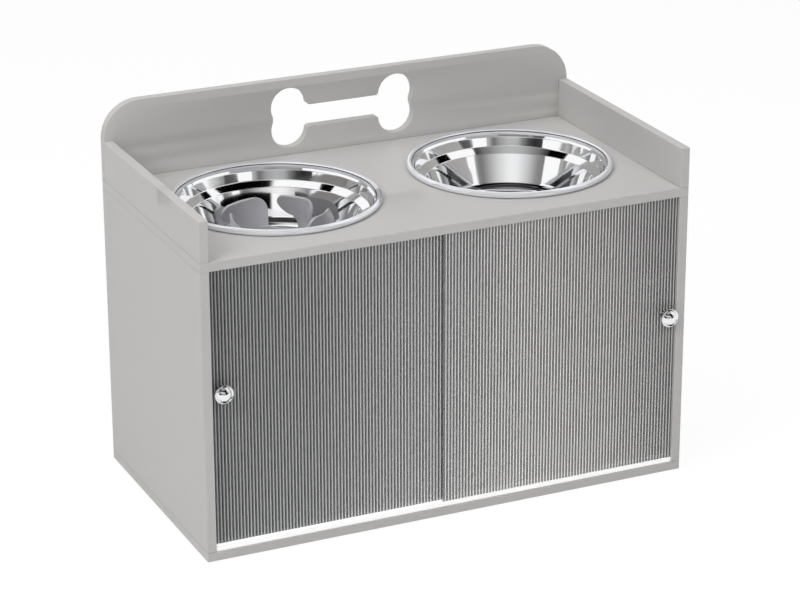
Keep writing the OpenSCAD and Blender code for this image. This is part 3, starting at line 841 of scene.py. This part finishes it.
studio = {
    "floorHalf": 6.0, "floorColour": (0.9, 0.9, 0.9, 1), "floorRough": 0.9,
    "shownWhite": 1.04, "shownShare": 0.9, "worldColour": (1, 1, 1, 1), "worldLevel": 0.242,
}

lamps = {
    "keyLamp": {"place": (-2.6, -1.2, 2.4), "aim": (0, 0, 0.2), "size": 1.6, "power": 45},
    "topLamp": {"place": (-0.5, 0.3, 3.0), "aim": (0, 0, 0.3), "size": 2.0, "power": 28},
    "frontLamp": {"place": (0.3, -2.6, 2.4), "aim": (0, 0, 0.2), "size": 1.6, "power": 27},
}

# Cards that only polished metal and gloss see, as grey and black blocks in the white studio.
# Turn is in degrees from the front towards +X and rise is from level. Tones run along the turn,
# or up the rise where a card is upwards.
cardSphere = {"radius": 4.5, "lift": 0.34, "step": 4, "columns": 4, "rows": 2}
black = [(0.0, 0.0), (1.0, 0.0)]
cards = {
    "lowFrontCard": {"turn": (-68, 4), "rise": (-4, 17.5), "tones": [
        (0.04, 0.04), (0.15, 0.02), (0.26, 0.05), (0.36, 0.17), (0.46, 0.39), (0.61, 0.44), (0.76, 0.33),
        (0.88, 0.145), (0.97, 0.44)]},
    "lowRightFlag": {"turn": (22, 40), "rise": (-4, 14), "tones": [(0.2, 0.06), (1.0, 0.1)]},
    "lowRightCard": {"turn": (40, 66), "rise": (-4, 12), "tones": [
        (0.0, 0.2), (0.4, 0.5), (0.8, 0.7), (1.0, 1.0)]},
    "lowLeftCard": {"turn": (-116, -90), "rise": (-4, 12), "tones": [
        (0.08, 0.77), (0.42, 0.5), (0.77, 0.27), (1.0, 0.7)]},
    "frontCard": {"turn": (-78, 26), "rise": (17.5, 34), "tones": [
        (0.03, 0.2), (0.1, 0.26), (0.25, 0.6), (0.39, 0.86), (0.48, 0.9), (0.54, 0.86), (0.68, 0.64),
        (0.83, 0.32), (0.9, 0.19), (0.96, 0.2), (1.0, 0.45)]},
    "frontDarkCard": {"turn": (-100, 4), "rise": (34, 54), "tones": [
        (0.0, 0.0), (0.22, 0.01), (0.62, 0.08), (1.0, 0.01)]},
    "frontFlag": {"turn": (4, 46), "rise": (34, 54), "tones": black},
    "frontHighCard": {"turn": (-78, 60), "rise": (54, 72), "radius": 4.3, "tones": [
        (0.0, 0.3), (0.5, 0.42), (1.0, 0.38)]},
    "rightCard": {"turn": (37, 62), "rise": (14, 26), "tones": [
        (0.0, 0.6), (0.13, 0.38), (0.48, 0.13), (1.0, 0.4)]},
    "leftCard": {"turn": (-116, -103), "rise": (12, 40), "tones": [(0.0, 0.3), (1.0, 0.22)]},
    "rightHighFlag": {"turn": (105, 125), "rise": (33, 48), "tones": black},
    "backHighFlag": {"turn": (-176, -143), "rise": (53, 65), "tones": black},
    "ceilingCard": {"turn": (0, 360), "rise": (65, 89.5), "upwards": True, "tones": [
        (0.0, 0.04), (0.08, 0.06), (0.2, 0.15), (0.37, 0.25), (0.49, 0.36), (0.61, 0.46), (0.73, 0.56),
        (1.0, 0.6)]},
}

# A flat card high over the left bowl, white with a black right end
overheadCard = {
    "x": (-0.3, 0.03), "y": (0.06, 0.2), "z": 0.64,
    "tones": [(0.0, 1.0), (0.62, 1.0), (0.64, 0.0), (1.0, 0.0)],
}

# Upright cards over the left bowl: white, then black, and at their left a dark grey one that rises outwards
nearCard = {
    "x": (-0.215, 0.02), "y": -0.03, "z": (0.357, 0.378),
    "tones": [(0.0, 1.0), (0.26, 1.0), (0.28, 0.0), (1.0, 0.0)],
}
nearGreyCard = {
    "x": (-0.42, -0.215), "y": -0.03, "low": (0.39, 0.374), "high": (0.434, 0.392),
    "tones": [(0.0, 0.09), (1.0, 0.06)],
}

# A black card round each knob, between it and the front lights
knobFlag = {"turn": (12, 38), "rise": (-3, 55), "radius": 0.15, "tones": black}


def shownRays(graph):
    # camera, glossy and transmitted rays all meet the same white
    outputs = graph.node("ShaderNodeLightPath").socket.node.outputs
    camera, glossy, through = (
        Wire(graph, outputs["Is " + kind + " Ray"]) for kind in ("Camera", "Glossy", "Transmission"))
    return graph.maths("MAXIMUM", graph.maths("MAXIMUM", camera, glossy), through)


def addFloor():
    mesh = bpy.data.meshes.new("floor")
    half = studio["floorHalf"]
    corners = [(-half, -half, 0), (half, -half, 0), (half, half, 0), (-half, half, 0)]
    mesh.from_pydata(corners, [], [(0, 1, 2, 3)])
    floor = addObject("floor", mesh)
    finish = Finish("floorWhite", {
        "Base Color": studio["floorColour"], "Roughness": studio["floorRough"], "Specular IOR Level": 0.0})
    glow = finish.node("ShaderNodeEmission", None, {"Strength": studio["shownWhite"]})
    lit = Wire(finish, finish.shader.outputs[0])
    shown = shownRays(finish) * studio["shownShare"]
    mixed = finish.node("ShaderNodeMixShader", None, {0: shown, 1: lit, 2: glow})
    finish.plug(finish.tree.nodes["Material Output"].inputs["Surface"], mixed)
    mesh.materials.append(finish.material)


def addWorld():
    world = bpy.data.worlds.new("studio")
    world.use_nodes = True
    graph = Graph(world.node_tree)
    sky = world.node_tree.nodes["Background"].inputs
    level = studio["worldLevel"] + shownRays(graph) * (1 - studio["worldLevel"])
    graph.plug(sky["Strength"], level)
    graph.plug(sky["Color"], studio["worldColour"])
    bpy.context.scene.world = world


def cardPaint(name, card):
    finish = Finish(name, {})
    patch = finish.node("ShaderNodeTexCoord", None, None, "UV")
    place = finish.along("Y" if card.get("upwards") else "X", patch)
    glow = finish.node("ShaderNodeEmission", None, {"Color": finish.ramp(place, card["tones"])})
    finish.plug(finish.tree.nodes["Material Output"].inputs["Surface"], glow)
    return finish.material


def addCard(name, card, centre):
    # a patch of a sphere round the object or one of its pieces
    shape = bmesh.new()
    patch = shape.loops.layers.uv.new("patch")
    (turnLow, turnHigh), (riseLow, riseHigh) = card["turn"], card["rise"]
    columns = max(cardSphere["columns"], round((turnHigh - turnLow) / cardSphere["step"]))
    rows = max(cardSphere["rows"], round((riseHigh - riseLow) / cardSphere["step"]))
    corners = []
    for j in range(rows + 1):
        level = polar(card.get("radius", cardSphere["radius"]), riseLow + (riseHigh - riseLow) * j / rows)
        turns = [
            polar(level.x, turnLow - 90 + (turnHigh - turnLow) * k / columns) for k in range(columns + 1)]
        corners.append([shape.verts.new(centre + Vector((*turn, level.y))) for turn in turns])
    for j in range(rows):
        for k in range(columns):
            spots = ((k, j), (k, j + 1), (k + 1, j + 1), (k + 1, j))
            face = shape.faces.new([corners[v][u] for u, v in spots])
            for loop, (u, v) in zip(face.loops, spots):
                loop[patch].uv = (u / columns, v / rows)
    mesh = bpy.data.meshes.new(name)
    shape.to_mesh(mesh)
    shape.free()
    mesh.materials.append(cardPaint(name, card))
    hangCard(name, mesh)


def hangCard(name, mesh):
    made = addObject(name, mesh)
    made.visible_camera = made.visible_diffuse = made.visible_transmission = made.visible_shadow = False


def addFlatCard(name, card, corners):
    # corners run from the lower left one upwards and round
    mesh = bpy.data.meshes.new(name)
    mesh.from_pydata(corners, [], [(0, 1, 2, 3)])
    patch = mesh.uv_layers.new(name="patch")
    for loop, spot in zip(patch.data, ((0, 0), (0, 1), (1, 1), (1, 0))):
        loop.uv = spot
    mesh.materials.append(cardPaint(name, card))
    hangCard(name, mesh)


def addNearCards():
    (left, right), (front, rear), z = (overheadCard[k] for k in "xyz")
    addFlatCard("overheadCard", overheadCard, [
        (left, front, z), (left, rear, z), (right, rear, z), (right, front, z)])
    (left, right), y, (low, high) = (nearCard[k] for k in "xyz")
    addFlatCard("nearCard", nearCard, [
        (left, y, low), (left, y, high), (right, y, high), (right, y, low)])
    (left, right), y, low, high = (nearGreyCard[k] for k in ("x", "y", "low", "high"))
    addFlatCard("nearGreyCard", nearGreyCard, [
        (left, y, low[0]), (left, y, high[0]), (right, y, high[1]), (right, y, low[1])])
    for side in ("left", "right"):
        low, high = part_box(side + "_door_knob")
        addCard(side + "KnobFlag", knobFlag, (low + high) / 2)


def addLamps():
    for name, lamp in lamps.items():
        data = bpy.data.lights.new(name, "AREA")
        data.shape = "RECTANGLE"
        data.size = data.size_y = lamp["size"]
        data.energy = lamp["power"]
        made = addObject(name, data)
        made.visible_glossy = False
        place = Vector(lamp["place"])
        facing = (place - Vector(lamp["aim"])).to_track_quat("Z", "Y")
        made.matrix_world = Matrix.Translation(place) @ facing.to_matrix().to_4x4()


addCamera()
addFloor()
addWorld()
addLamps()
for name, card in cards.items():
    addCard(name, card, Vector((0, 0, cardSphere["lift"])))
addNearCards()
bpy.context.scene.view_settings.view_transform = "Standard"
print("studio set")
